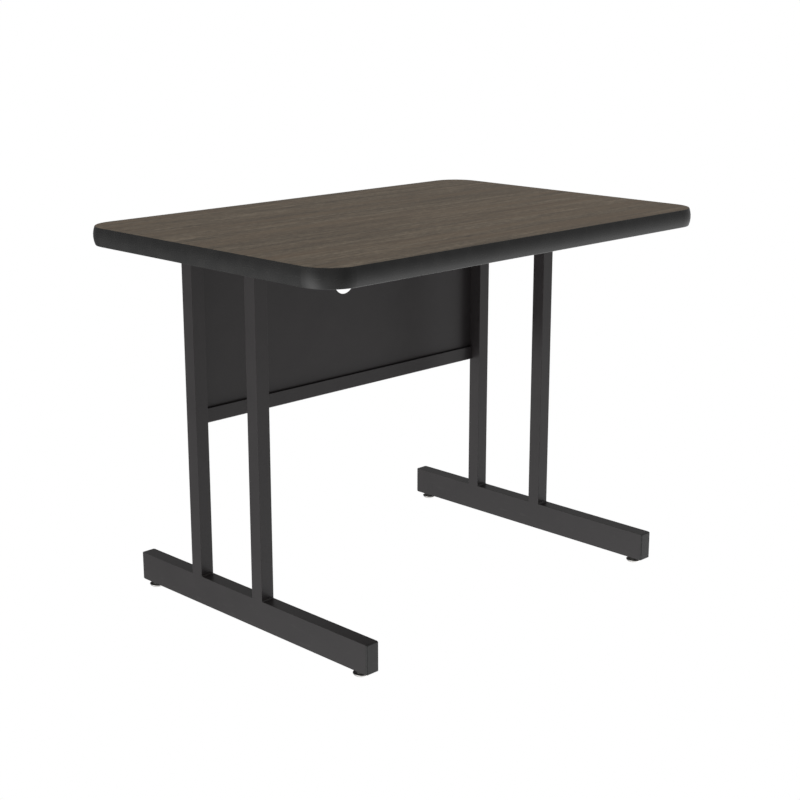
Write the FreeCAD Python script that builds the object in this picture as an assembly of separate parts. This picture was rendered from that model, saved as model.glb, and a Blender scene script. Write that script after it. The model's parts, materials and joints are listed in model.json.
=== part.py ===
import FreeCAD, Part
import math
import os

# Teacher desk: a laminate top on two cantilever end frames, with a steel modesty panel
# and four screw-in leveling glides. Millimetres, +Z up, the user sits on the -Y side.
# The origin is on the floor, under the middle of the top.

Vector = FreeCAD.Vector
Z_AXIS = Vector(0, 0, 1)

# ---- whole desk ----
desk_height = 660.0
top_width = 914.4
top_depth = 612.0
top_thickness = 31.2
top_corner_radius = 57.0

# ---- top: edge band, laminate, core and backer ----
band_edge_thickness = 0.7       # how far the band stands out at its upper and lower edges
band_bulge = 2.7                # extra at half height, where the band is fullest
band_edge_round = 0.6
band_seam_gap = 0.4             # butt joint of the band's two ends, at the back
laminate_thickness = 1.0
backer_thickness = 0.6
slot_half_height = 1.3          # saw slot round the core that holds the band's tongue
slot_depth = 10.5
tongue_half_height = 0.8
tongue_length = 9.0
barb_half_height = 1.15
barb_pitch = 2.6
barb_slope_share = 0.8          # of the pitch, taken up by a barb's slope
barb_count = 3

# ---- steel tube ----
tube_width = 25.4
foot_height = 50.8
tube_wall = 1.5
tube_corner_radius = 0.5        # nearly sharp outer corners
tube_inner_radius = 0.3

# ---- end frames ----
frame_outer_x = 365.8           # outer faces of the uprights and feet
foot_bottom_z = 9.6
foot_front_y = -285.2
foot_rear_y = 297.8
rear_upright_y = 138.5
front_upright_y = -22.1
channel_front_y = -205.0
channel_rear_y = 245.0
channel_wall = 2.0
channel_depth = 20.0
channel_play = 0.1              # between an upright and each flange of the channel

# ---- foot end caps ----
cap_flange_thickness = 3.0      # covers the end of the tube
cap_flange_inset = 0.1          # from the outer faces of the tube
cap_flange_corner_radius = 1.6
cap_edge_round = 1.5
cap_play = 0.1                  # between the grip ribs and the tube
cap_corner_radius = 0.5
cap_skirt_depth = 16.0          # from the outer face of the flange
cap_skirt_wall = 1.6
cap_skirt_radius = 0.8
cap_rib_height = 1.2
cap_rib_thickness = 0.8
cap_rib_places = (4.5, 8.0, 11.5)   # from the outer face of the flange
cap_rib_overlap = 0.5           # how far a rib reaches into the skirt

# ---- modesty panel ----
panel_sheet = 1.2
panel_half_width = 358.0
panel_bottom_z = 323.3
panel_top_clearance = 6.0       # below the underside of the top
panel_channel_clearance = 2.0
lip_height = 25.4
lip_forward = 5.7               # front of the folded lip ahead of the panel's front face
lip_side_clearance = 1.0
lip_bend_radius = 1.9
wire_hole_radius = 25.0
wire_hole_drop = 102.0          # hole centre below the underside of the top

# ---- screws ----
wood_screw = {"head_radius": 4.7, "head_height": 3.0, "shank_radius": 2.4, "length": 19.0, "tip": 6.0}
panel_screw = {"head_radius": 4.2, "head_height": 2.6, "shank_radius": 2.1, "length": 14.0, "tip": 3.0}
head_rim_share = 0.35           # height of the head's straight rim, of the head's height
head_shoulder_radius_share = 0.72
head_shoulder_height_share = 0.86
cross_slot_reach_share = 0.55   # half the slot's length, of the head's radius
screw_hole_play = 0.05
cross_slot_width = 1.1
cross_slot_depth = 1.6
wood_screw_ys = (-185.0, -90.0, 58.0, 225.0)
panel_screw_heights = (352.0, 466.0, 580.0)

# ---- leveling glides ----
glide_inset = 25.4              # glide axis from the end of the foot
glide_radius = 14.0             # of the thin rim
glide_floor_radius = 9.0
glide_rim_low_z = 3.4
glide_rim_high_z = 4.4
glide_rim_round = 0.25
glide_collar_foot_radius = 9.4
glide_collar_radius = 8.2
glide_top_z = 6.9
socket_floor_z = 1.8
socket_roof_z = 4.9
socket_radius = 6.1
socket_mouth_radius = 4.1
stem_play = 0.1
stem_radius = 3.95
stem_length = 34.5              # top of the stem above the floor at rest
stem_tip_chamfer = 0.8
hex_across_flats = 12.7
hex_bottom_z = 7.2
hex_top_z = 9.3
nut_radius = 8.0
nut_height = 10.0
nut_bore_radius = 4.02
foot_hole_radius = 4.6

# ---- worked out from the above ----
underside_z = desk_height - top_thickness
band_thickness = band_edge_thickness + band_bulge
slab_width = top_width - 2 * band_thickness
slab_depth = top_depth - 2 * band_thickness
slab_corner_radius = top_corner_radius - band_thickness
band_middle_z = desk_height - top_thickness / 2
frame_x = frame_outer_x - tube_width / 2
foot_top_z = foot_bottom_z + foot_height
channel_web_bottom_z = underside_z - channel_wall
channel_inner_width = tube_width + 2 * channel_play
panel_front_y = rear_upright_y + tube_width / 2
panel_top_z = underside_z - panel_top_clearance
glide_ys = {"front": foot_front_y + glide_inset, "rear": foot_rear_y - glide_inset}
upright_ys = {"front": front_upright_y, "rear": rear_upright_y}
sides = {"left": -1, "right": 1}


def save(shape, node):
    """Write one node to its STEP file."""
    shape.exportStep(os.path.join("parts", node + ".step"))


def polygon_face(points):
    """Flat face inside the closed outline through the given points."""
    return Part.Face(Part.makePolygon(list(points) + [points[0]]))


def box_between(low, high):
    """Box from its lowest to its highest corner."""
    size = Vector(*high) - Vector(*low)
    return Part.makeBox(size.x, size.y, size.z, Vector(*low))


def rounded_face(width, height, radius):
    """Rectangle with round corners in the XY plane, centred on the origin."""
    edges = []
    corners = ((1, -1, -90), (1, 1, 0), (-1, 1, 90), (-1, -1, 180))
    for index, (side_x, side_y, start) in enumerate(corners):
        centre = Vector(side_x * (width / 2 - radius), side_y * (height / 2 - radius), 0)
        arc = Part.makeCircle(radius, centre, Z_AXIS, start, start + 90)
        edges.append(arc)
        next_x, next_y, next_start = corners[(index + 1) % 4]
        next_centre = Vector(next_x * (width / 2 - radius), next_y * (height / 2 - radius), 0)
        line_start = centre + radius * direction(start + 90)
        line_end = next_centre + radius * direction(next_start)
        edges.append(Part.makeLine(line_start, line_end))
    return Part.Face(Part.Wire(edges))


def direction(degrees):
    """Unit vector in the XY plane at an angle from +X."""
    return Vector(math.cos(math.radians(degrees)), math.sin(math.radians(degrees)), 0)


def slab(width, depth, radius, low_z, high_z):
    """Rounded rectangular sheet between two heights."""
    sheet = rounded_face(width, depth, radius).extrude(Vector(0, 0, high_z - low_z))
    sheet.translate(Vector(0, 0, low_z))
    return sheet


def square_tube(height, length):
    """Hollow tube along +Z from the origin, tube_width across X and the given size across Y."""
    outside = rounded_face(tube_width, height, tube_corner_radius)
    inside = rounded_face(tube_width - 2 * tube_wall, height - 2 * tube_wall, tube_inner_radius)
    return outside.extrude(Vector(0, 0, length)).cut(inside.extrude(Vector(0, 0, length)))


def screw(size):
    """Pan-head screw along +Z: the head's underside is at z = 0 and the tip points up."""
    head_radius = size["head_radius"]
    head_height = size["head_height"]
    shank_radius = size["shank_radius"]
    length = size["length"]
    rim = Vector(head_radius, 0, -head_rim_share * head_height)
    shoulder = Vector(
        head_shoulder_radius_share * head_radius, 0, -head_shoulder_height_share * head_height
    )
    crown = Vector(0, 0, -head_height)
    foot = Vector(head_radius, 0, 0)
    shank_foot = Vector(shank_radius, 0, 0)
    shank_top = Vector(shank_radius, 0, length - size["tip"])
    point = Vector(0, 0, length)
    outline = Part.Wire([
        Part.Arc(crown, shoulder, rim).toShape(),
        Part.makeLine(rim, foot),
        Part.makeLine(foot, shank_foot),
        Part.makeLine(shank_foot, shank_top),
        Part.makeLine(shank_top, point),
        Part.makeLine(point, crown),
    ])
    body = Part.Face(outline).revolve(Vector(0, 0, 0), Z_AXIS, 360)
    reach = cross_slot_reach_share * head_radius
    half = cross_slot_width / 2
    slot_top = -head_height + cross_slot_depth
    along_x = box_between((-reach, -half, -head_height - 1), (reach, half, slot_top))
    along_y = box_between((-half, -reach, -head_height - 1), (half, reach, slot_top))
    return body.cut(along_x.fuse(along_y))


def screw_spots(side):
    """Places of the screws that hold the top to one end frame."""
    return [Vector(side * frame_x, y, channel_web_bottom_z) for y in wood_screw_ys]


def screw_holes(side, size, low_z, high_z):
    """Round holes for one end frame's wood screws, between two heights."""
    radius = size["shank_radius"] + screw_hole_play
    holes = []
    for spot in screw_spots(side):
        start = Vector(spot.x, spot.y, low_z)
        holes.append(Part.makeCylinder(radius, high_z - low_z, start, Z_AXIS))
    return Part.makeCompound(holes)


# ---- top ----
def core_levels():
    """Lower and upper face of the particle-board core."""
    return underside_z + backer_thickness, desk_height - laminate_thickness


def make_top_core():
    """Particle-board core with the saw slot round its edge and blind screw holes below."""
    low_z, high_z = core_levels()
    core = slab(slab_width, slab_depth, slab_corner_radius, low_z, high_z)
    slot_low = band_middle_z - slot_half_height
    slot_high = band_middle_z + slot_half_height
    ring = slab(slab_width, slab_depth, slab_corner_radius, slot_low, slot_high)
    inner_width = slab_width - 2 * slot_depth
    inner_depth = slab_depth - 2 * slot_depth
    inner_radius = slab_corner_radius - slot_depth
    ring = ring.cut(slab(inner_width, inner_depth, inner_radius, slot_low, slot_high))
    core = core.cut(ring)
    hole_top = channel_web_bottom_z + wood_screw["length"] + 1.0
    for side in sides.values():
        core = core.cut(screw_holes(side, wood_screw, low_z, hole_top))
    return core


def make_top_laminate():
    """Decorative laminate sheet on the upper face."""
    return slab(slab_width, slab_depth, slab_corner_radius, core_levels()[1], desk_height)


def make_backer_sheet():
    """Thin balancing sheet under the core, with the screw holes through it."""
    sheet = slab(slab_width, slab_depth, slab_corner_radius, underside_z, core_levels()[0])
    for side in sides.values():
        sheet = sheet.cut(screw_holes(side, wood_screw, underside_z, core_levels()[0]))
    return sheet


def band_profile(start_x, inner_y):
    """Cross-section of the edge band: a bulged face outside, a barbed tongue inside."""
    half = top_thickness / 2

    def at(outward, up):
        return Vector(start_x, inner_y + outward, band_middle_z + up)

    low_edge = at(band_edge_thickness, -half + band_edge_round)
    high_edge = at(band_edge_thickness, half - band_edge_round)
    fullest = at(band_thickness, 0)
    corner = band_edge_thickness - band_edge_round
    edges = [
        Part.makeLine(at(0, half), at(corner, half)),
        Part.makeLine(at(corner, half), high_edge),
        Part.Arc(high_edge, fullest, low_edge).toShape(),
        Part.makeLine(low_edge, at(corner, -half)),
        Part.makeLine(at(corner, -half), at(0, -half)),
    ]
    upper = [at(0, tongue_half_height)]
    for index in range(barb_count):
        barb_y = -(tongue_length - (barb_count - index) * barb_pitch)
        upper.append(at(barb_y, tongue_half_height))
        upper.append(at(barb_y, barb_half_height))
        upper.append(at(barb_y - barb_pitch * barb_slope_share, tongue_half_height))
    upper.append(at(-tongue_length, tongue_half_height))
    lower = [Vector(p.x, p.y, 2 * band_middle_z - p.z) for p in reversed(upper)]
    loop = [at(0, -half)] + lower[::-1] + upper[::-1] + [at(0, half)]
    for first, second in zip(loop, loop[1:]):
        if first.distanceToPoint(second) > 1e-6:
            edges.append(Part.makeLine(first, second))
    return Part.Wire(Part.__sortEdges__(edges))


def band_path():
    """Open path along the core's edge, from one end of the band's seam round to the other."""
    half_w = slab_width / 2
    half_d = slab_depth / 2
    radius = slab_corner_radius
    gap = band_seam_gap / 2
    corners = ((1, 1, 0), (1, -1, -90), (-1, -1, -180), (-1, 1, -270))
    edges = []
    last = Vector(gap, half_d, band_middle_z)
    for side_x, side_y, angle in corners:
        centre = Vector(side_x * (half_w - radius), side_y * (half_d - radius), band_middle_z)
        first = centre + radius * direction(angle + 90)
        middle = centre + radius * direction(angle + 45)
        second = centre + radius * direction(angle)
        edges.append(Part.makeLine(last, first))
        edges.append(Part.Arc(first, middle, second).toShape())
        last = second
    edges.append(Part.makeLine(last, Vector(-gap, half_d, band_middle_z)))
    return Part.Wire(edges)


def make_edge_band():
    """Vinyl band pressed into the core's slot all the way round."""
    profile = band_profile(band_seam_gap / 2, slab_depth / 2)
    return band_path().makePipeShell([profile], True, False)


# ---- end frames ----
def make_foot_tube(side):
    """Floor tube of one end frame, with a hole in its lower wall for each glide."""
    tube_front_y = foot_front_y + cap_flange_thickness
    tube_rear_y = foot_rear_y - cap_flange_thickness
    tube = square_tube(foot_height, tube_rear_y - tube_front_y)
    tube.rotate(Vector(0, 0, 0), Vector(1, 0, 0), -90)
    tube.translate(Vector(side * frame_x, tube_front_y, foot_bottom_z + foot_height / 2))
    for y in glide_ys.values():
        start = Vector(side * frame_x, y, foot_bottom_z - 1)
        tube = tube.cut(Part.makeCylinder(foot_hole_radius, tube_wall + 2, start, Z_AXIS))
    return tube


def make_upright(side, place):
    """Square upright between the foot and the top channel."""
    length = channel_web_bottom_z - foot_top_z
    tube = square_tube(tube_width, length)
    tube.translate(Vector(side * frame_x, upright_ys[place], foot_top_z))
    if place == "rear":
        radius = panel_screw["shank_radius"] + screw_hole_play
        for height in panel_screw_heights:
            start = Vector(side * frame_x, panel_front_y - tube_wall - 1, height)
            hole = Part.makeCylinder(radius, tube_wall + 2, start, Vector(0, 1, 0))
            tube = tube.cut(hole)
    return tube


def make_top_channel(side):
    """Channel that opens downwards over the uprights and carries the top."""
    outer = channel_inner_width / 2 + channel_wall
    inner = channel_inner_width / 2
    low_z = underside_z - channel_depth
    outside = box_between((-outer, channel_front_y, low_z), (outer, channel_rear_y, underside_z))
    long_edges = []
    for edge in outside.Edges:
        middle = edge.CenterOfMass
        if abs(middle.y - (channel_front_y + channel_rear_y) / 2) < 1 and middle.z > underside_z - 1:
            long_edges.append(edge)
    outside = outside.makeFillet(channel_wall, long_edges)
    room = box_between(
        (-inner, channel_front_y - 1, low_z - 1),
        (inner, channel_rear_y + 1, channel_web_bottom_z),
    )
    channel = outside.cut(room)
    channel.translate(Vector(side * frame_x, 0, 0))
    return channel.cut(screw_holes(side, wood_screw, channel_web_bottom_z - 1, underside_z + 1))


def make_end_cap(side, place):
    """Plastic cap on one end of a foot: a rounded flange, a hollow skirt and grip ribs."""
    flange_width = tube_width - 2 * cap_flange_inset
    flange_height = foot_height - 2 * cap_flange_inset
    flange = rounded_face(flange_width, flange_height, cap_flange_corner_radius)
    flange = flange.extrude(Vector(0, 0, cap_flange_thickness))
    front_edges = [edge for edge in flange.Edges if edge.BoundBox.ZMax < 0.01]
    flange = flange.makeFillet(cap_edge_round, front_edges)
    width = tube_width - 2 * tube_wall - 2 * cap_play
    height = foot_height - 2 * tube_wall - 2 * cap_play
    skirt_width = width - 2 * cap_rib_height
    skirt_height = height - 2 * cap_rib_height
    skirt = rounded_face(skirt_width, skirt_height, cap_skirt_radius)
    skirt = skirt.extrude(Vector(0, 0, cap_skirt_depth))
    hollow = rounded_face(
        skirt_width - 2 * cap_skirt_wall,
        skirt_height - 2 * cap_skirt_wall,
        cap_corner_radius,
    )
    hollow = hollow.extrude(Vector(0, 0, cap_skirt_depth))
    hollow.translate(Vector(0, 0, cap_flange_thickness))
    cap = flange.fuse(skirt).cut(hollow)
    room_width = skirt_width - 2 * cap_rib_overlap
    room_height = skirt_height - 2 * cap_rib_overlap
    room = rounded_face(room_width, room_height, cap_corner_radius)
    for rib_z in cap_rib_places:
        rib = rounded_face(width, height, cap_corner_radius).cut(room)
        rib = rib.extrude(Vector(0, 0, cap_rib_thickness))
        rib.translate(Vector(0, 0, rib_z))
        cap = cap.fuse(rib)
    cap = cap.removeSplitter()
    cap.rotate(Vector(0, 0, 0), Vector(1, 0, 0), -90 if place == "front" else 90)
    end_y = foot_front_y if place == "front" else foot_rear_y
    cap.translate(Vector(side * frame_x, end_y, foot_bottom_z + foot_height / 2))
    return cap


# ---- modesty panel ----
def lip_outline():
    """Section of the panel's bottom: down the sheet, round the fold and up the lip."""
    inner_radius = lip_bend_radius - panel_sheet
    back_y = panel_front_y + panel_sheet
    lip_front_y = panel_front_y - lip_forward
    top_z = panel_bottom_z + lip_height
    floor_z = panel_bottom_z
    outer = lip_bend_radius
    slant = math.sqrt(0.5)
    room_front = lip_front_y + panel_sheet
    room_floor = floor_z + panel_sheet

    def at(y, z):
        return Vector(0, y, z)

    def bend(centre_y, centre_z, radius, start, stop, toward):
        return Part.Arc(
            at(*start),
            at(centre_y + toward * radius * slant, centre_z - radius * slant),
            at(*stop),
        ).toShape()

    back_centre = (back_y - outer, floor_z + outer)
    front_centre = (lip_front_y + outer, floor_z + outer)
    edges = [
        Part.makeLine(at(back_y, top_z), at(back_y, floor_z + outer)),
        bend(*back_centre, outer, (back_y, floor_z + outer), (back_y - outer, floor_z), 1),
        Part.makeLine(at(back_y - outer, floor_z), at(lip_front_y + outer, floor_z)),
        bend(*front_centre, outer, (lip_front_y + outer, floor_z), (lip_front_y, floor_z + outer), -1),
        Part.makeLine(at(lip_front_y, floor_z + outer), at(lip_front_y, top_z)),
        Part.makeLine(at(lip_front_y, top_z), at(room_front, top_z)),
        Part.makeLine(at(room_front, top_z), at(room_front, floor_z + outer)),
        bend(*front_centre, inner_radius, (room_front, floor_z + outer),
             (lip_front_y + outer, room_floor), -1),
        Part.makeLine(at(lip_front_y + outer, room_floor), at(back_y - outer, room_floor)),
        bend(*back_centre, inner_radius, (back_y - outer, room_floor),
             (panel_front_y, floor_z + outer), 1),
        Part.makeLine(at(panel_front_y, floor_z + outer), at(panel_front_y, top_z)),
        Part.makeLine(at(panel_front_y, top_z), at(back_y, top_z)),
    ]
    return Part.Wire(edges)


def make_modesty_panel():
    """Folded steel sheet behind the uprights: wire hole, notched top corners, folded bottom lip."""
    lip_half_width = frame_outer_x - tube_width - lip_side_clearance
    back_y = panel_front_y + panel_sheet
    lip_top_z = panel_bottom_z + lip_height
    folded = Part.Face(lip_outline()).extrude(Vector(2 * lip_half_width, 0, 0))
    folded.translate(Vector(-lip_half_width, 0, 0))
    sheet_low_z = panel_bottom_z + lip_bend_radius
    sheet = box_between(
        (-panel_half_width, panel_front_y, sheet_low_z),
        (panel_half_width, back_y, panel_top_z),
    )
    panel = sheet.fuse(folded).removeSplitter()
    notch_x = frame_x - channel_inner_width / 2 - channel_wall - panel_channel_clearance
    notch_z = underside_z - channel_depth - panel_channel_clearance
    for side in sides.values():
        notch = box_between(
            (min(side * notch_x, side * (panel_half_width + 1)), panel_front_y - 1, notch_z),
            (max(side * notch_x, side * (panel_half_width + 1)), back_y + 1, panel_top_z + 1),
        )
        panel = panel.cut(notch)
        radius = panel_screw["shank_radius"] + screw_hole_play
        for height in panel_screw_heights:
            start = Vector(side * frame_x, panel_front_y - 1, height)
            panel = panel.cut(Part.makeCylinder(radius, panel_sheet + 2, start, Vector(0, 1, 0)))
    hole_start = Vector(0, panel_front_y - 1, underside_z - wire_hole_drop)
    hole = Part.makeCylinder(wire_hole_radius, panel_sheet + 2, hole_start, Vector(0, 1, 0))
    return panel.cut(hole)


# ---- screws ----
def make_top_screws(side):
    """Wood screws up through one channel into the core."""
    screws = []
    for spot in screw_spots(side):
        one = screw(wood_screw)
        one.translate(spot)
        screws.append(one)
    return Part.makeCompound(screws)


def make_panel_screws():
    """Screws through the modesty panel into the rear uprights, driven from behind."""
    screws = []
    for side in sides.values():
        for height in panel_screw_heights:
            one = screw(panel_screw)
            one.rotate(Vector(0, 0, 0), Vector(1, 0, 0), 90)
            one.translate(Vector(side * frame_x, panel_front_y + panel_sheet, height))
            screws.append(one)
    return Part.makeCompound(screws)


# ---- leveling glides ----
def make_glide_nuts(side):
    """Round weld nuts on the inside of a foot's lower wall."""
    nuts = []
    for y in glide_ys.values():
        start = Vector(side * frame_x, y, foot_bottom_z + tube_wall)
        nut = Part.makeCylinder(nut_radius, nut_height, start, Z_AXIS)
        nuts.append(nut.cut(Part.makeCylinder(nut_bore_radius, nut_height, start, Z_AXIS)))
    return Part.makeCompound(nuts)


def make_glide_base():
    """Steel dish of a glide: shallow dome, thin rim and a collar that the stem turns in."""
    dome_start = Vector(glide_floor_radius, 0, 0)
    dome_end = Vector(glide_radius - glide_rim_round, 0, glide_rim_low_z)
    run = dome_end.x - dome_start.x
    rise = dome_end.z
    dome_radius = (run ** 2 + rise ** 2) / (2 * rise)
    middle_angle = (math.atan2(rise - dome_radius, run) - math.pi / 2) / 2
    dome_middle = dome_start + Vector(
        dome_radius * math.cos(middle_angle), 0, dome_radius * (1 + math.sin(middle_angle))
    )
    points = [
        dome_end,
        Vector(glide_radius, 0, glide_rim_low_z + glide_rim_round),
        Vector(glide_radius, 0, glide_rim_high_z - glide_rim_round),
        Vector(glide_radius - glide_rim_round, 0, glide_rim_high_z),
        Vector(glide_collar_foot_radius, 0, glide_rim_high_z),
        Vector(glide_collar_radius, 0, glide_top_z),
        Vector(socket_mouth_radius, 0, glide_top_z),
        Vector(socket_mouth_radius, 0, socket_roof_z),
        Vector(socket_radius, 0, socket_roof_z),
        Vector(socket_radius, 0, socket_floor_z),
        Vector(0, 0, socket_floor_z),
        Vector(0, 0, 0),
        dome_start,
    ]
    edges = [Part.makeLine(first, second) for first, second in zip(points, points[1:])]
    edges.append(Part.Arc(dome_start, dome_middle, dome_end).toShape())
    return Part.Face(Part.Wire(edges)).revolve(Vector(0, 0, 0), Z_AXIS, 360)


def make_glide_stem():
    """Threaded stem of a glide: retaining disc, neck, hexagon for a spanner and shank."""
    disc_low = socket_floor_z + stem_play
    disc_height = socket_roof_z - socket_floor_z - 2 * stem_play
    disc = Part.makeCylinder(socket_radius - stem_play, disc_height, Vector(0, 0, disc_low), Z_AXIS)
    shank_low = disc_low + disc_height
    shank = Part.makeCylinder(stem_radius, stem_length - shank_low, Vector(0, 0, shank_low), Z_AXIS)
    tip_edges = [edge for edge in shank.Edges if edge.BoundBox.ZMin > stem_length - 0.01]
    shank = shank.makeChamfer(stem_tip_chamfer, tip_edges)
    corner_radius = hex_across_flats / 2 / math.cos(math.radians(30))
    corners = [corner_radius * direction(60 * index) for index in range(6)]
    hexagon = polygon_face(corners).extrude(Vector(0, 0, hex_top_z - hex_bottom_z))
    hexagon.translate(Vector(0, 0, hex_bottom_z))
    return disc.fuse(shank).fuse(hexagon)


def main():
    os.makedirs("parts", exist_ok=True)
    save(make_top_core(), "top_core")
    save(make_top_laminate(), "top_laminate")
    save(make_backer_sheet(), "backer_sheet")
    save(make_edge_band(), "edge_band")
    save(make_modesty_panel(), "modesty_panel")
    save(make_panel_screws(), "panel_screws")
    for side_name, side in sides.items():
        save(make_foot_tube(side), side_name + "_foot_tube")
        save(make_top_channel(side), side_name + "_top_channel")
        save(make_top_screws(side), side_name + "_top_screws")
        save(make_glide_nuts(side), side_name + "_glide_nuts")
        for place, glide_y in glide_ys.items():
            prefix = side_name + "_" + place
            save(make_upright(side, place), prefix + "_upright")
            save(make_end_cap(side, place), prefix + "_end_cap")
            for maker, kind in ((make_glide_base, "_glide_base"), (make_glide_stem, "_glide_stem")):
                piece = maker()
                piece.translate(Vector(side * frame_x, glide_y, 0))
                save(piece, prefix + kind)


main()
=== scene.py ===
import bpy
import bmesh
import json
import math
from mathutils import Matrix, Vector


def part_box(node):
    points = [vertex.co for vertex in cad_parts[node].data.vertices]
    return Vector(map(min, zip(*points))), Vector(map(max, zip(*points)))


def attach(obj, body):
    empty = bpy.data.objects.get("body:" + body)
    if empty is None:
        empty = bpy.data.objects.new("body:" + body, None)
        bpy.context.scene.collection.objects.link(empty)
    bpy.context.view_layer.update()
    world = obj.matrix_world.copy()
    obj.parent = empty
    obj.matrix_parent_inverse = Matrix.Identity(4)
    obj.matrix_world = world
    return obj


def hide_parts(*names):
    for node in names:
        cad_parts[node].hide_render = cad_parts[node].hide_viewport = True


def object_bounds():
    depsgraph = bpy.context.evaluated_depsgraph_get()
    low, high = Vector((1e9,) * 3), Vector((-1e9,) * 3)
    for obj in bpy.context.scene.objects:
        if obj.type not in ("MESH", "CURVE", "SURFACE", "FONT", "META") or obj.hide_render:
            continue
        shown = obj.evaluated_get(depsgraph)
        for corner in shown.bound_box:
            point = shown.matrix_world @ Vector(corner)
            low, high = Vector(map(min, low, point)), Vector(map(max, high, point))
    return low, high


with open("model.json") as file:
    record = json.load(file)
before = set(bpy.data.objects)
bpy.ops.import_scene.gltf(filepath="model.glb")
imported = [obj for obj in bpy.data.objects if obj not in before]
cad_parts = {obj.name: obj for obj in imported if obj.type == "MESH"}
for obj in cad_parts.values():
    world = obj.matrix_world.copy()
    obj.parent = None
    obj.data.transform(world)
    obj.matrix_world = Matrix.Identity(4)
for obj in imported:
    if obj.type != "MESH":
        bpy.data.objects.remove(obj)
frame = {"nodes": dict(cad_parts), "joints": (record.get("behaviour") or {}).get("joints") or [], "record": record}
cad_low, cad_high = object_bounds()
nodes = frame["nodes"]

SIDES = ("left", "right")
PLACES = ("front", "rear")
MM = 0.001
UP = Vector((0, 0, 1))


# ---------------------------------------------------------------- camera
CAMERA_AZIMUTH = math.radians(-45)
CAMERA_ELEVATION = math.radians(15)
CAMERA_DISTANCE = 2.775
CAMERA_SHIFT = Vector((-0.0043, 0.0039, 0.0))   # the aim point, from the middle of the desk's box
LENS_MM = 70
SENSOR_MM = 36
FAR_CLIP = 200


def make_camera():
    """A long lens that sees the desk from its left front corner, a little above the top."""
    data = bpy.data.cameras.new("camera")
    data.lens = LENS_MM
    data.sensor_width = SENSOR_MM
    data.clip_end = FAR_CLIP
    camera = bpy.data.objects.new("camera", data)
    bpy.context.scene.collection.objects.link(camera)
    back = Vector((
        math.sin(CAMERA_AZIMUTH) * math.cos(CAMERA_ELEVATION),
        -math.cos(CAMERA_AZIMUTH) * math.cos(CAMERA_ELEVATION),
        math.sin(CAMERA_ELEVATION),
    ))
    aim = (cad_low + cad_high) / 2 + CAMERA_SHIFT
    camera.location = aim + back * CAMERA_DISTANCE
    camera.rotation_euler = (-back).to_track_quat("-Z", "Y").to_euler()
    bpy.context.scene.camera = camera


# ---------------------------------------------------------------- node helpers
def add_node(tree, kind, settings=None, inputs=None):
    """A new node with its settings, and its inputs given as values or as sockets to link."""
    made = tree.nodes.new(kind)
    for name, value in (settings or {}).items():
        setattr(made, name, value)
    for name, value in (inputs or {}).items():
        if isinstance(value, bpy.types.NodeSocket):
            tree.links.new(value, made.inputs[name])
        else:
            made.inputs[name].default_value = value
    return made


def math_node(tree, operation, *values):
    """The result of one scalar operation."""
    return add_node(tree, "ShaderNodeMath", {"operation": operation}, dict(enumerate(values))).outputs[0]


def vector_node(tree, operation, *values):
    """The vector result of one vector operation."""
    settings = {"operation": operation}
    return add_node(tree, "ShaderNodeVectorMath", settings, dict(enumerate(values))).outputs["Vector"]


def remap(tree, value, low, high, to_low=0.0, to_high=1.0):
    """Value carried from low..high to to_low..to_high, held at the ends."""
    inputs = {"Value": value, "From Min": low, "From Max": high, "To Min": to_low, "To Max": to_high}
    return add_node(tree, "ShaderNodeMapRange", {"clamp": True}, inputs).outputs["Result"]


def noise(tree, place, per_metre, detail=2.0, output="Fac"):
    """Noise with the given number of features per metre along X, Y and Z."""
    inputs = {"Vector": vector_node(tree, "MULTIPLY", place, per_metre), "Scale": 1.0, "Detail": detail}
    return add_node(tree, "ShaderNodeTexNoise", {}, inputs).outputs[output]


def even(per_metre):
    """The same number of features per metre along all three axes."""
    return (per_metre, per_metre, per_metre)


def ramp(tree, value, stops):
    """Colour picked by value from a list of (position, colour) stops."""
    made = add_node(tree, "ShaderNodeValToRGB", {}, {"Fac": value})
    elements = made.color_ramp.elements
    while len(elements) < len(stops):
        elements.new(0.5)
    for element, (position, color) in zip(elements, stops):
        element.position = position
        element.color = (*color, 1)
    return made.outputs["Color"]


def tint(tree, color, factor, toward):
    """Color mixed toward another colour by factor."""
    made = add_node(tree, "ShaderNodeMix", {"data_type": "RGBA"})
    tree.links.new(factor, made.inputs["Factor"])
    tree.links.new(color, made.inputs["A"])
    made.inputs["B"].default_value = (*toward, 1)
    for socket in made.outputs:
        if socket.type == "RGBA":
            return socket


def height_above_origin(tree, place):
    """Height of a place, which is its height above the desk's rest level while no glide has moved."""
    return add_node(tree, "ShaderNodeSeparateXYZ", {}, {"Vector": place}).outputs["Z"]


# ---------------------------------------------------------------- studio light and floor
# Where each soft light comes from (heading from +X towards +Y, height above the horizon), how wide
# it spreads, all three in degrees, and how bright it is.
STUDIO_LIGHTS = {
    "floor_bounce": {"heading": 0, "height": -90, "spread": 28, "strength": 0.95},
    "left_softbox_low": {"heading": 165, "height": -40, "spread": 18, "strength": 2.05},
    "left_softbox_high": {"heading": 165, "height": -10, "spread": 18, "strength": 1.0},
    "right_softbox": {"heading": 345, "height": -50, "spread": 18, "strength": 1.9},
    "right_low_fill": {"heading": 10, "height": -30, "spread": 18, "strength": 0.35},
    "right_top_fill": {"heading": 0, "height": 35, "spread": 20, "strength": 0.15},
    "front_right_fill": {"heading": 315, "height": -20, "spread": 18, "strength": 0.55},
    "front_fill": {"heading": 225, "height": -25, "spread": 25, "strength": 0.45},
    "overhead_dome": {"heading": 0, "height": 90, "spread": 50, "strength": 0.55},
}
BACKDROP_WHITE = 1.0
FLOOR_SIZE = 8.0


def light_direction(heading, height):
    """Unit vector toward a heading and height in degrees."""
    heading, height = math.radians(heading), math.radians(height)
    return (math.cos(heading) * math.cos(height), math.sin(heading) * math.cos(height), math.sin(height))


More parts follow.
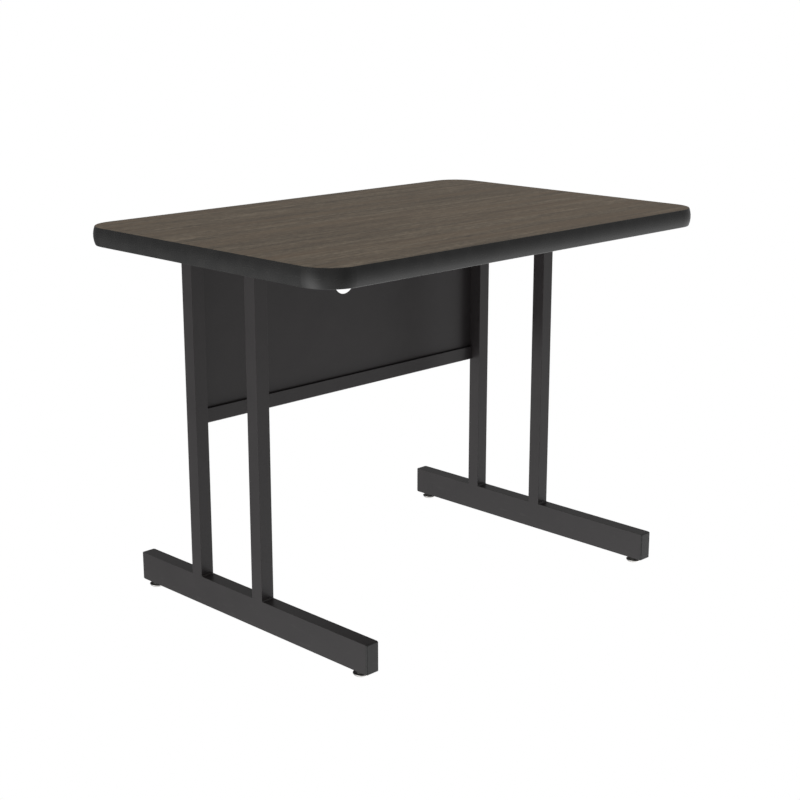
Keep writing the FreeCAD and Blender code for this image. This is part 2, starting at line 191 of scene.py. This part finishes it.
def make_world():
    """Soft lights round the desk, each a smooth bright patch of sky, and a white backdrop."""
    world = bpy.data.worlds.new("studio")
    world.use_nodes = True
    bpy.context.scene.world = world
    tree = world.node_tree
    outward = add_node(tree, "ShaderNodeTexCoord").outputs["Generated"]
    total = 0.0
    for light in STUDIO_LIGHTS.values():
        aim = light_direction(light["heading"], light["height"])
        settings = {"operation": "DOT_PRODUCT"}
        facing = add_node(tree, "ShaderNodeVectorMath", settings, {0: outward, 1: aim}).outputs["Value"]
        away = math_node(tree, "SUBTRACT", facing, 1.0)
        fall = math_node(tree, "MULTIPLY", away, 1 / math.radians(light["spread"]) ** 2)
        glow = math_node(tree, "EXPONENT", fall)
        total = math_node(tree, "MULTIPLY_ADD", glow, light["strength"], total)
    seen = add_node(tree, "ShaderNodeLightPath").outputs["Is Camera Ray"]
    strength = remap(tree, seen, 0.0, 1.0, total, BACKDROP_WHITE)
    background = tree.nodes["Background"]
    background.inputs["Color"].default_value = (1, 1, 1, 1)
    tree.links.new(strength, background.inputs["Strength"])


def make_floor():
    """Plain white floor as low as the glides reach, seen from above only, that never shades the desk."""
    mesh = bpy.data.meshes.new("floor")
    half = FLOOR_SIZE / 2
    drop = max(joint["range_m"][1] for joint in frame["joints"] if joint["type"] == "slide")
    corners = [(-half, -half, -drop), (half, -half, -drop), (half, half, -drop), (-half, half, -drop)]
    mesh.from_pydata(corners, [], [(0, 1, 2, 3)])
    floor = bpy.data.objects.new("floor", mesh)
    bpy.context.scene.collection.objects.link(floor)
    material = bpy.data.materials.new("floor_white")
    material.use_nodes = True
    tree = material.node_tree
    glow = add_node(tree, "ShaderNodeEmission", {}, {"Color": (1, 1, 1, 1), "Strength": BACKDROP_WHITE})
    clear = add_node(tree, "ShaderNodeBsdfTransparent")
    below = add_node(tree, "ShaderNodeNewGeometry").outputs["Backfacing"]
    sockets = {0: below, 1: glow.outputs[0], 2: clear.outputs[0]}
    mixed = add_node(tree, "ShaderNodeMixShader", {}, sockets)
    tree.links.new(mixed.outputs[0], tree.nodes["Material Output"].inputs["Surface"])
    mesh.materials.append(material)
    floor.visible_diffuse = False
    floor.visible_glossy = False
    floor.visible_transmission = False
    floor.visible_shadow = False


# ---------------------------------------------------------------- materials
# Each finish: index of refraction, colours along its pattern, roughness at the pattern's low and
# high end, and the height of its fine relief.
FINISHES = {
    "walnut_laminate": {
        "ior": 1.40,
        "colors": (
            (0.37, (0.091, 0.067, 0.043)),
            (0.462, (0.176, 0.134, 0.090)),
            (0.538, (0.250, 0.193, 0.132)),
            (0.63, (0.408, 0.326, 0.232)),
        ),
        "roughness": (0.46, 0.54),
        "relief": 0.012 * MM,
    },
    "particle_board": {
        "ior": 1.50,
        "colors": ((0.15, (0.24, 0.16, 0.09)), (0.5, (0.42, 0.31, 0.19)), (0.85, (0.58, 0.45, 0.30))),
        "roughness": (0.95, 0.75),
        "relief": 0.15 * MM,
    },
    "backer": {
        "ior": 1.50,
        "colors": (
            (0.3, (0.072, 0.052, 0.037)),
            (0.5, (0.098, 0.073, 0.053)),
            (0.72, (0.130, 0.100, 0.075)),
        ),
        "roughness": (0.62, 0.78),
        "relief": 0.03 * MM,
    },
    "black_vinyl": {
        "ior": 1.42,
        "colors": ((0.3, (0.017, 0.017, 0.017)), (0.7, (0.024, 0.0235, 0.023))),
        "roughness": (0.23, 0.29),
        "relief": 0.003 * MM,
    },
    "black_paint": {
        "ior": 1.40,
        "colors": ((0.3, (0.0315, 0.0285, 0.0295)), (0.7, (0.0370, 0.0335, 0.0345))),
        "roughness": (0.33, 0.37),
        "relief": 0.012 * MM,
    },
    "black_plastic": {
        "ior": 1.42,
        "colors": ((0.3, (0.024, 0.024, 0.024)), (0.7, (0.030, 0.030, 0.030))),
        "roughness": (0.36, 0.44),
        "relief": 0.012 * MM,
    },
    "zinc_steel": {
        "ior": 1.50,
        "colors": ((0.3, (0.44, 0.46, 0.50)), (0.5, (0.52, 0.52, 0.51)), (0.7, (0.56, 0.53, 0.45))),
        "roughness": (0.24, 0.40),
        "relief": 0.006 * MM,
    },
    "nickel_plate": {
        "ior": 1.50,
        "colors": ((0.3, (0.50, 0.49, 0.475)), (0.7, (0.63, 0.62, 0.60))),
        "roughness": (0.20, 0.30),
        "relief": 0.006 * MM,
    },
}
NOISE_LOW = 0.3                 # most of a soft noise lies between these two values
NOISE_HIGH = 0.7


def start_material(name, metallic=0.0):
    """An empty Principled material of one finish, and the object's own coordinates in metres."""
    material = bpy.data.materials.new(name)
    material.use_nodes = True
    tree = material.node_tree
    shader = tree.nodes["Principled BSDF"]
    shader.inputs["IOR"].default_value = FINISHES[name]["ior"]
    shader.inputs["Metallic"].default_value = metallic
    place = add_node(tree, "ShaderNodeTexCoord").outputs["Object"]
    return material, tree, shader, place


def finish_color(tree, name, pattern):
    """The finish's colours along its pattern."""
    return ramp(tree, pattern, FINISHES[name]["colors"])


def finish_roughness(tree, name, pattern, low=NOISE_LOW, high=NOISE_HIGH):
    """The finish's roughness along its pattern, which runs from low to high."""
    return remap(tree, pattern, low, high, *FINISHES[name]["roughness"])


def finish_material(name, material, shader, color, roughness, height):
    """Link colour, roughness and the finish's fine relief to the shader."""
    tree = material.node_tree
    relief = FINISHES[name]["relief"]
    bump = add_node(tree, "ShaderNodeBump", {}, {"Height": height, "Distance": relief, "Strength": 1.0})
    tree.links.new(color, shader.inputs["Base Color"])
    tree.links.new(roughness, shader.inputs["Roughness"])
    tree.links.new(bump.outputs["Normal"], shader.inputs["Normal"])
    return material


# Each layer of the walnut print: features per metre along and across the grain, and its share.
WALNUT_LAYERS = {
    "broad_tone": {"along": 1.1, "across": 24, "detail": 1.0, "share": 0.10},
    "bands": {"along": 3.0, "across": 100, "detail": 1.0, "share": 0.20},
    "streaks": {"along": 11.0, "across": 240, "detail": 2.0, "share": 0.30},
    "fine_lines": {"along": 85.0, "across": 520, "detail": 2.0, "share": 0.40},
}
WALNUT_DARK = (0.085, 0.060, 0.037)
WALNUT_WARM = (0.235, 0.160, 0.098)
DARK_LINE_STRENGTH = 0.6
PORE_STRENGTH = 0.55
WARMTH_STRENGTH = 0.55
GRAIN_DRIFT = 5 * MM            # how far a streak wanders sideways


def walnut_laminate():
    """Printed straight walnut grain along the desk's width, under a satin surface."""
    name = "walnut_laminate"
    material, tree, shader, place = start_material(name)
    wander = noise(tree, place, (2.6, 7.0, 1.0), detail=1.0, output="Color")
    wavy = vector_node(tree, "MULTIPLY_ADD", wander, (0, GRAIN_DRIFT, 0), place)
    tone = 0.0
    for layer in WALNUT_LAYERS.values():
        grain = noise(tree, wavy, (layer["along"], layer["across"], 1.0), layer["detail"])
        tone = math_node(tree, "MULTIPLY_ADD", grain, layer["share"], tone)
    color = finish_color(tree, name, tone)
    dark_lines = noise(tree, wavy, (1.6, 120.0, 3.0), detail=1.0)
    dark_line_mask = remap(tree, dark_lines, 0.64, 0.74, to_high=DARK_LINE_STRENGTH)
    color = tint(tree, color, dark_line_mask, WALNUT_DARK)
    pores = noise(tree, wavy, (60.0, 1700.0, 1.0), detail=1.0)
    pore_mask = remap(tree, pores, 0.60, 0.72, to_high=PORE_STRENGTH)
    color = tint(tree, color, pore_mask, WALNUT_DARK)
    warmth = noise(tree, wavy, (2.0, 38.0, 5.0))
    color = tint(tree, color, remap(tree, warmth, 0.45, 0.70, to_high=WARMTH_STRENGTH), WALNUT_WARM)
    roughness = finish_roughness(tree, name, tone, 0.35, 0.65)
    height = math_node(tree, "SUBTRACT", tone, pore_mask)
    return finish_material(name, material, shader, color, roughness, height)


CHIPS_PER_METRE = (260, 420, 700)
CHIP_SHARE = 0.55               # of the board's tone; the rest is dust


def particle_board():
    """Pressed wood chips of mixed tone."""
    name = "particle_board"
    material, tree, shader, place = start_material(name)
    chip_place = vector_node(tree, "MULTIPLY", place, CHIPS_PER_METRE)
    chips = add_node(tree, "ShaderNodeTexVoronoi", {}, {"Vector": chip_place, "Scale": 1.0})
    chip = add_node(tree, "ShaderNodeSeparateColor", {}, {"Color": chips.outputs["Color"]}).outputs[0]
    dust = noise(tree, place, even(900), detail=3.0)
    chip_part = math_node(tree, "MULTIPLY", chip, CHIP_SHARE)
    tone = math_node(tree, "MULTIPLY_ADD", dust, 1 - CHIP_SHARE, chip_part)
    color = finish_color(tree, name, tone)
    roughness = finish_roughness(tree, name, tone, 0.2, 0.8)
    return finish_material(name, material, shader, color, roughness, tone)


MOTTLE_SHARE = 0.6              # of the backer's tone; the rest is its paper fibres


def backer():
    """Brown phenolic backing sheet: matte, faintly mottled, with short paper fibres."""
    name = "backer"
    material, tree, shader, place = start_material(name)
    mottle = noise(tree, place, even(55), detail=3.0)
    fibres = noise(tree, place, (260, 900, 260))
    mottle_part = math_node(tree, "MULTIPLY", mottle, MOTTLE_SHARE)
    tone = math_node(tree, "MULTIPLY_ADD", fibres, 1 - MOTTLE_SHARE, mottle_part)
    color = finish_color(tree, name, tone)
    roughness = finish_roughness(tree, name, mottle)
    return finish_material(name, material, shader, color, roughness, tone)


BAND_CREST_HALF = 5 * MM        # half the height of the strip that gets rubbed on the band
VINYL_RUBBED = (0.060, 0.059, 0.057)
VINYL_RUB_STRENGTH = 0.22
VINYL_RUB_ROUGHENS = 0.07


def black_vinyl():
    """Satin black vinyl with a fine moulded texture, scuffed a little along its fullest line."""
    name = "black_vinyl"
    material, tree, shader, place = start_material(name)
    texture = noise(tree, place, even(1500))
    cloud = noise(tree, place, even(40))
    band_low, band_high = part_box("edge_band")
    height_here = height_above_origin(tree, place)
    from_crest = math_node(tree, "SUBTRACT", height_here, (band_low.z + band_high.z) / 2)
    crest = remap(tree, math_node(tree, "ABSOLUTE", from_crest), 0.0, BAND_CREST_HALF, 1.0, 0.0)
    rubs = remap(tree, noise(tree, place, (60, 60, 450)), 0.58, 0.74)
    wear = math_node(tree, "MULTIPLY", rubs, crest)
    wear_mask = math_node(tree, "MULTIPLY", wear, VINYL_RUB_STRENGTH)
    color = tint(tree, finish_color(tree, name, cloud), wear_mask, VINYL_RUBBED)
    smooth = finish_roughness(tree, name, cloud)
    roughness = math_node(tree, "MULTIPLY_ADD", wear, VINYL_RUB_ROUGHENS, smooth)
    return finish_material(name, material, shader, color, roughness, texture)


SCUFF_HEIGHT = 66 * MM          # shoes and mops reach this far up the feet
PAINT_SCUFFED = (0.075, 0.073, 0.071)
SCUFF_STRENGTH = 0.25
SCUFF_ROUGHENS = 0.10


def black_paint():
    """Black powder coat with a fine orange peel, and faint rubbing low on the feet."""
    name = "black_paint"
    material, tree, shader, place = start_material(name)
    peel = noise(tree, place, even(620), detail=1.0)
    cloud = noise(tree, place, even(16), detail=3.0)
    height_here = height_above_origin(tree, place)
    low_down = remap(tree, height_here, SCUFF_HEIGHT / 2, SCUFF_HEIGHT, 1.0, 0.0)
    rubs = remap(tree, noise(tree, place, (160, 38, 160), detail=4.0), 0.60, 0.74)
    scuff = math_node(tree, "MULTIPLY", rubs, low_down)
    scuff_mask = math_node(tree, "MULTIPLY", scuff, SCUFF_STRENGTH)
    color = tint(tree, finish_color(tree, name, cloud), scuff_mask, PAINT_SCUFFED)
    smooth = finish_roughness(tree, name, cloud)
    roughness = math_node(tree, "MULTIPLY_ADD", scuff, SCUFF_ROUGHENS, smooth)
    return finish_material(name, material, shader, color, roughness, peel)


def black_plastic():
    """Moulded black plastic with an even spark-eroded grain."""
    name = "black_plastic"
    material, tree, shader, place = start_material(name)
    grain = noise(tree, place, even(2200), detail=1.0)
    cloud = noise(tree, place, even(120))
    color = finish_color(tree, name, cloud)
    roughness = finish_roughness(tree, name, cloud)
    return finish_material(name, material, shader, color, roughness, grain)


def zinc_steel():
    """Bright zinc plate: cool grey with faint yellow and blue patches and fine drawing lines."""
    name = "zinc_steel"
    material, tree, shader, place = start_material(name, metallic=1.0)
    patches = noise(tree, place, even(210), detail=3.0)
    lines = noise(tree, place, (420, 420, 3200))
    color = finish_color(tree, name, patches)
    roughness = finish_roughness(tree, name, patches)
    return finish_material(name, material, shader, color, roughness, lines)


FLOOR_RUB_HEIGHT = 2.5 * MM     # the floor dulls a glide up to here
FLOOR_RUB_ROUGHENS = 0.14
PAINTED_SHADE_LOW = 4.0 * MM            # painted shade darkens the collar from here
PAINTED_SHADE_HIGH = 4.6 * MM           # to here and above
PAINTED_SHADE_STRENGTH = 0.85
PAINTED_SHADE_COLOR = (0.060, 0.056, 0.051)
PAINTED_SHADE_ROUGHENS = 0.25


def nickel_plate():
    """Nickel plate, dulled where the glide rubs on the floor, with painted shade darkening its collar."""
    name = "nickel_plate"
    material, tree, shader, place = start_material(name, metallic=1.0)
    scratches = noise(tree, place, (900, 160, 160), detail=4.0)
    dull = noise(tree, place, even(130), detail=3.0)
    height_here = height_above_origin(tree, place)
    floor_rub = remap(tree, height_here, 0.0, FLOOR_RUB_HEIGHT, FLOOR_RUB_ROUGHENS, 0.0)
    # Painted shade: the glide is darkened and roughened from its collar up, standing in for the shade under the
    # foot.
    painted_shade = remap(tree, height_here, PAINTED_SHADE_LOW, PAINTED_SHADE_HIGH, to_high=PAINTED_SHADE_STRENGTH)
    color = tint(tree, finish_color(tree, name, dull), painted_shade, PAINTED_SHADE_COLOR)
    dulled = math_node(tree, "MULTIPLY_ADD", painted_shade, PAINTED_SHADE_ROUGHENS, floor_rub)
    roughness = math_node(tree, "ADD", finish_roughness(tree, name, dull), dulled)
    return finish_material(name, material, shader, color, roughness, scratches)


SLOT_MATERIALS = {
    "walnut_laminate": walnut_laminate(),
    "particle_board": particle_board(),
    "backer": backer(),
    "black_vinyl": black_vinyl(),
    "black_paint": black_paint(),
    "black_plastic": black_plastic(),
    "zinc_steel": zinc_steel(),
    "nickel_plate": nickel_plate(),
}


def finish_cad_nodes():
    """Give every CAD node the material of its slot."""
    for sub in frame["record"]["subparts"]:
        node = nodes[sub["node"]]
        node.data.materials.clear()
        node.data.materials.append(SLOT_MATERIALS[sub["material_slot"]])


# ---------------------------------------------------------------- mesh helpers
SHARP_ANGLE = math.radians(35)
MERGE_DISTANCE = 1e-6


def add_piece(name, build, slot, body):
    """A new mesh object from bmesh geometry, with its slot's material, riding on a body."""
    build.normal_update()
    bmesh.ops.recalc_face_normals(build, faces=build.faces)
    mesh = bpy.data.meshes.new(name)
    build.to_mesh(mesh)
    build.free()
    for polygon in mesh.polygons:
        polygon.use_smooth = True
    mesh.set_sharp_from_angle(angle=SHARP_ANGLE)
    mesh.materials.append(SLOT_MATERIALS[slot])
    piece = bpy.data.objects.new(name, mesh)
    bpy.context.scene.collection.objects.link(piece)
    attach(piece, body)
    return piece


def skin_rings(build, rings):
    """Faces between neighbouring rings of points, with both ends capped."""
    made = [[build.verts.new(point) for point in ring] for ring in rings]
    count = len(made[0])
    for lower, upper in zip(made, made[1:]):
        for index in range(count):
            after = (index + 1) % count
            build.faces.new((lower[index], lower[after], upper[after], upper[index]))
    build.faces.new(made[0])
    build.faces.new(made[-1])


# ---------------------------------------------------------------- weld beads
TUBE_CORNER = 0.5 * MM          # outside corner radius of the square tube
FILLET_LEG = 2.2 * MM
CHANNEL_FILLET_LEG = 1.8 * MM
FILLET_FLATNESS = 1.5           # 1 is a full round bead and 2 a flat one
FLUSH_HALF_HEIGHT = 1.2 * MM    # the ground weld at the side of an upright
FLUSH_BULGE = 0.05 * MM
FLUSH_ROOT = 0.8 * MM
WELD_ROOT = 0.4 * MM            # how far a bead reaches into the metal
WELD_STEP = 0.3 * MM            # between two rings of points along a bead
FEWEST_STEPS = 8
WELD_TAPER = 1.4 * MM           # length of the taper at each end of a bead
END_SIZE_SQUARED = 0.03         # square of the bead's size at its very ends, of its full size
RIPPLE_PITCH = 1.5 * MM
RIPPLE_DEPTH = 0.07             # of the bead's size
SECTION_STEPS = 7


def fillet_section(leg):
    """Points of a fillet bead: out along one face, then up the other."""
    points = [(-WELD_ROOT, -WELD_ROOT)]
    for step in range(SECTION_STEPS + 1):
        angle = math.pi / 2 * step / SECTION_STEPS
        points.append((
            leg * max(math.cos(angle), 0.0) ** FILLET_FLATNESS,
            leg * max(math.sin(angle), 0.0) ** FILLET_FLATNESS,
        ))
    return points


def flush_section():
    """Points of a ground weld that fills the groove between two faces in line."""
    points = [(0.0, -FLUSH_ROOT)]
    for step in range(SECTION_STEPS + 1):
        angle = math.pi * step / SECTION_STEPS
        bulge = FLUSH_BULGE * (2 * math.sin(angle) - 1)
        points.append((FLUSH_HALF_HEIGHT * math.cos(angle), bulge))
    return points


def lay_bead(build, start, end, first, second, section, ripple=RIPPLE_DEPTH):
    """Sweep a section, drawn along first and second, from start to end with ripples and tapers."""
    length = (end - start).length
    count = max(int(length / WELD_STEP), FEWEST_STEPS)
    rings = []
    for step in range(count + 1):
        travelled = length * step / count
        from_end = min(travelled, length - travelled)
        short_of_full = 1 - min(from_end / WELD_TAPER, 1.0)
        taper = math.sqrt(max(1 - short_of_full ** 2, END_SIZE_SQUARED))
        phase = travelled / RIPPLE_PITCH % 1.0
        size = taper * (1 - ripple * phase)
        centre = start.lerp(end, step / count)
        rings.append([centre + size * (u * first + v * second) for u, v in section])
    skin_rings(build, rings)


def make_foot_welds(side_name, place):
    """Welds round the foot of an upright: fillets front and rear, ground flush at the sides."""
    low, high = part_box(f"{side_name}_{place}_upright")
    build = bmesh.new()
    for toward in (-1, 1):
        outward = Vector((0, toward, 0))
        y = low.y if toward < 0 else high.y
        start = Vector((low.x + TUBE_CORNER, y, low.z))
        end = Vector((high.x - TUBE_CORNER, y, low.z))
        lay_bead(build, start, end, outward, UP, fillet_section(FILLET_LEG))
        x = low.x if toward < 0 else high.x
        start = Vector((x, low.y + TUBE_CORNER / 2, low.z))
        end = Vector((x, high.y - TUBE_CORNER / 2, low.z))
        sideways = Vector((toward, 0, 0))
        lay_bead(build, start, end, UP, sideways, flush_section(), ripple=0)
    add_piece(f"{side_name}_{place}_foot_weld", build, "black_paint", "frame")


def make_channel_welds(side_name, place):
    """Fillet welds between an upright's two sides and the lower edges of the top channel."""
    low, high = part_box(f"{side_name}_{place}_upright")
    channel_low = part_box(f"{side_name}_top_channel")[0]
    build = bmesh.new()
    for toward in (-1, 1):
        x = low.x if toward < 0 else high.x
        start = Vector((x, low.y + TUBE_CORNER, channel_low.z))
        end = Vector((x, high.y - TUBE_CORNER, channel_low.z))
        outward = Vector((toward, 0, 0))
        lay_bead(build, start, end, outward, -UP, fillet_section(CHANNEL_FILLET_LEG))
    add_piece(f"{side_name}_{place}_channel_weld", build, "black_paint", "frame")


# ---------------------------------------------------------------- threaded glide stems
THREAD_PITCH = 25.4 * MM / 18
THREAD_DEPTH = 0.80 * MM
THREAD_ROWS = 8                 # rows of points for each turn of the thread
FLANK_SLOPE = 2.6               # thread depths that a flank climbs in one pitch
ROOT_FLAT = 0.15                # lowers the flanks by this share of the depth, for a flat root
END_RELIEF = 0.02 * MM          # the thread starts and ends this far below its root
TURN_POINTS = 48
STEM_CHAMFER = 0.9 * MM
THREAD_START_GAP = 0.5 * MM     # plain neck between the hexagon and the first thread
HEX_ACROSS_FLATS = 12.7 * MM
HEX_HEIGHT = 2.1 * MM
HEX_CHAMFER_SLOPE = math.tan(math.radians(30))
HEX_FACE_SHARE = 0.97           # radius of the hexagon's flat faces, of half its width
STEM_RADIUS = 3.95 * MM
DISC_HEIGHT = 2.9 * MM
DISC_RADIUS = 6.0 * MM
DISC_ROUND = 0.5 * MM
HEX_RISE = 5.3 * MM             # underside of the hexagon above the underside of the disc


def ring_of(radius_at, height_at):
    """One ring of points from a radius and a height given for each angle."""
    points = []
    for index in range(TURN_POINTS):
        angle = 2 * math.pi * index / TURN_POINTS
        radius = radius_at(angle)
        points.append(Vector((radius * math.cos(angle), radius * math.sin(angle), height_at(angle))))
    return points


def round_ring(radius, height):
    """One level round ring of points."""
    return ring_of(lambda angle: radius, lambda angle: height)


def hex_radius(angle):
    """Distance from the stem's axis to the side of the hexagon, corners at 0, 60, ... degrees."""
    within = (angle + math.pi / 6) % (math.pi / 3) - math.pi / 6
    return HEX_ACROSS_FLATS / 2 / math.cos(math.pi / 6 - abs(within))


def stem_body_rings(low, thread_low):
    """Rings of the retaining disc, the neck and the chamfered hexagon, up to the thread's start."""
    hex_low = low + HEX_RISE
    hex_high = hex_low + HEX_HEIGHT
    face = HEX_ACROSS_FLATS / 2 * HEX_FACE_SHARE

    def bevel(angle):
        return (hex_radius(angle) - face) * HEX_CHAMFER_SLOPE

    disc_high = low + DISC_HEIGHT
    plain = (
        (DISC_RADIUS - DISC_ROUND, low),
        (DISC_RADIUS, low + DISC_ROUND),
        (DISC_RADIUS, disc_high - DISC_ROUND),
        (DISC_RADIUS - DISC_ROUND, disc_high),
        (STEM_RADIUS, disc_high),
        (STEM_RADIUS, hex_low),
        (face, hex_low),
    )
    neck = (
        (face, hex_high),
        (STEM_RADIUS - THREAD_DEPTH, hex_high),
        (STEM_RADIUS - THREAD_DEPTH, thread_low + THREAD_PITCH / 2),
    )
    rings = [round_ring(radius, height) for radius, height in plain]
    rings.append(ring_of(hex_radius, lambda angle: hex_low + bevel(angle)))
    rings.append(ring_of(hex_radius, lambda angle: hex_high - bevel(angle)))
    return rings + [round_ring(radius, height) for radius, height in neck]


def thread_radius(row, height, low, high):
    """Radius of one row of the thread, cut down by the chamfers at its two ends."""
    phase = row % THREAD_ROWS / THREAD_ROWS
    rise = min(max(FLANK_SLOPE * (0.5 - abs(phase - 0.5)) - ROOT_FLAT, 0.0), 1.0)
    core = STEM_RADIUS - THREAD_DEPTH
    from_end = min(height - low, high - height)
    limit = min(STEM_RADIUS, core + from_end * THREAD_DEPTH / STEM_CHAMFER - END_RELIEF)
    return max(min(core + THREAD_DEPTH * rise, limit), core - END_RELIEF)


def add_thread(build, low, high):
    """Right-hand thread from low to high, its rows of points following the helix."""
    turns = math.ceil((high - low) / THREAD_PITCH) + 1
    grid = []
    for row in range(-THREAD_ROWS, turns * THREAD_ROWS + 1):
        line = []
        for index in range(TURN_POINTS):
            rise = THREAD_PITCH * (row / THREAD_ROWS + index / TURN_POINTS)
            height = min(max(low + rise, low), high)
            radius = thread_radius(row, height, low, high)
            angle = 2 * math.pi * index / TURN_POINTS
            point = (radius * math.cos(angle), radius * math.sin(angle), height)
            line.append(build.verts.new(point))
        grid.append(line)
    for row in range(len(grid) - 1):
        for index in range(TURN_POINTS):
            last = index == TURN_POINTS - 1
            if last and row + 1 + THREAD_ROWS >= len(grid):
                continue
            right = (row + THREAD_ROWS, 0) if last else (row, index + 1)
            corners = (
                grid[row][index],
                grid[right[0]][right[1]],
                grid[right[0] + 1][right[1]],
                grid[row + 1][index],
            )
            build.faces.new(corners)
    bmesh.ops.remove_doubles(build, verts=[v for line in grid for v in line], dist=MERGE_DISTANCE)
    bmesh.ops.dissolve_degenerate(build, edges=build.edges, dist=MERGE_DISTANCE)
    open_edges = [edge for edge in build.edges if edge.is_boundary]
    bmesh.ops.holes_fill(build, edges=open_edges, sides=0)


def make_glide_stem(side_name, place):
    """Threaded stem of one glide in place of the plain CAD stem."""
    node = f"{side_name}_{place}_glide_stem"
    low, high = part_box(node)
    axis = Vector(((low.x + high.x) / 2, (low.y + high.y) / 2, 0))
    thread_low = low.z + HEX_RISE + HEX_HEIGHT + THREAD_START_GAP
    build = bmesh.new()
    add_thread(build, thread_low, high.z)
    skin_rings(build, stem_body_rings(low.z, thread_low))
    bmesh.ops.translate(build, verts=build.verts, vec=axis)
    piece = add_piece(f"{node}_threaded", build, "zinc_steel", f"{side_name}_{place}_glide_screw")
    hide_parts(node)


# ---------------------------------------------------------------- the scene
bpy.context.scene.view_settings.view_transform = "Standard"
make_camera()
make_world()
make_floor()
finish_cad_nodes()
for side_name in SIDES:
    for place in PLACES:
        make_foot_welds(side_name, place)
        make_channel_welds(side_name, place)
        make_glide_stem(side_name, place)
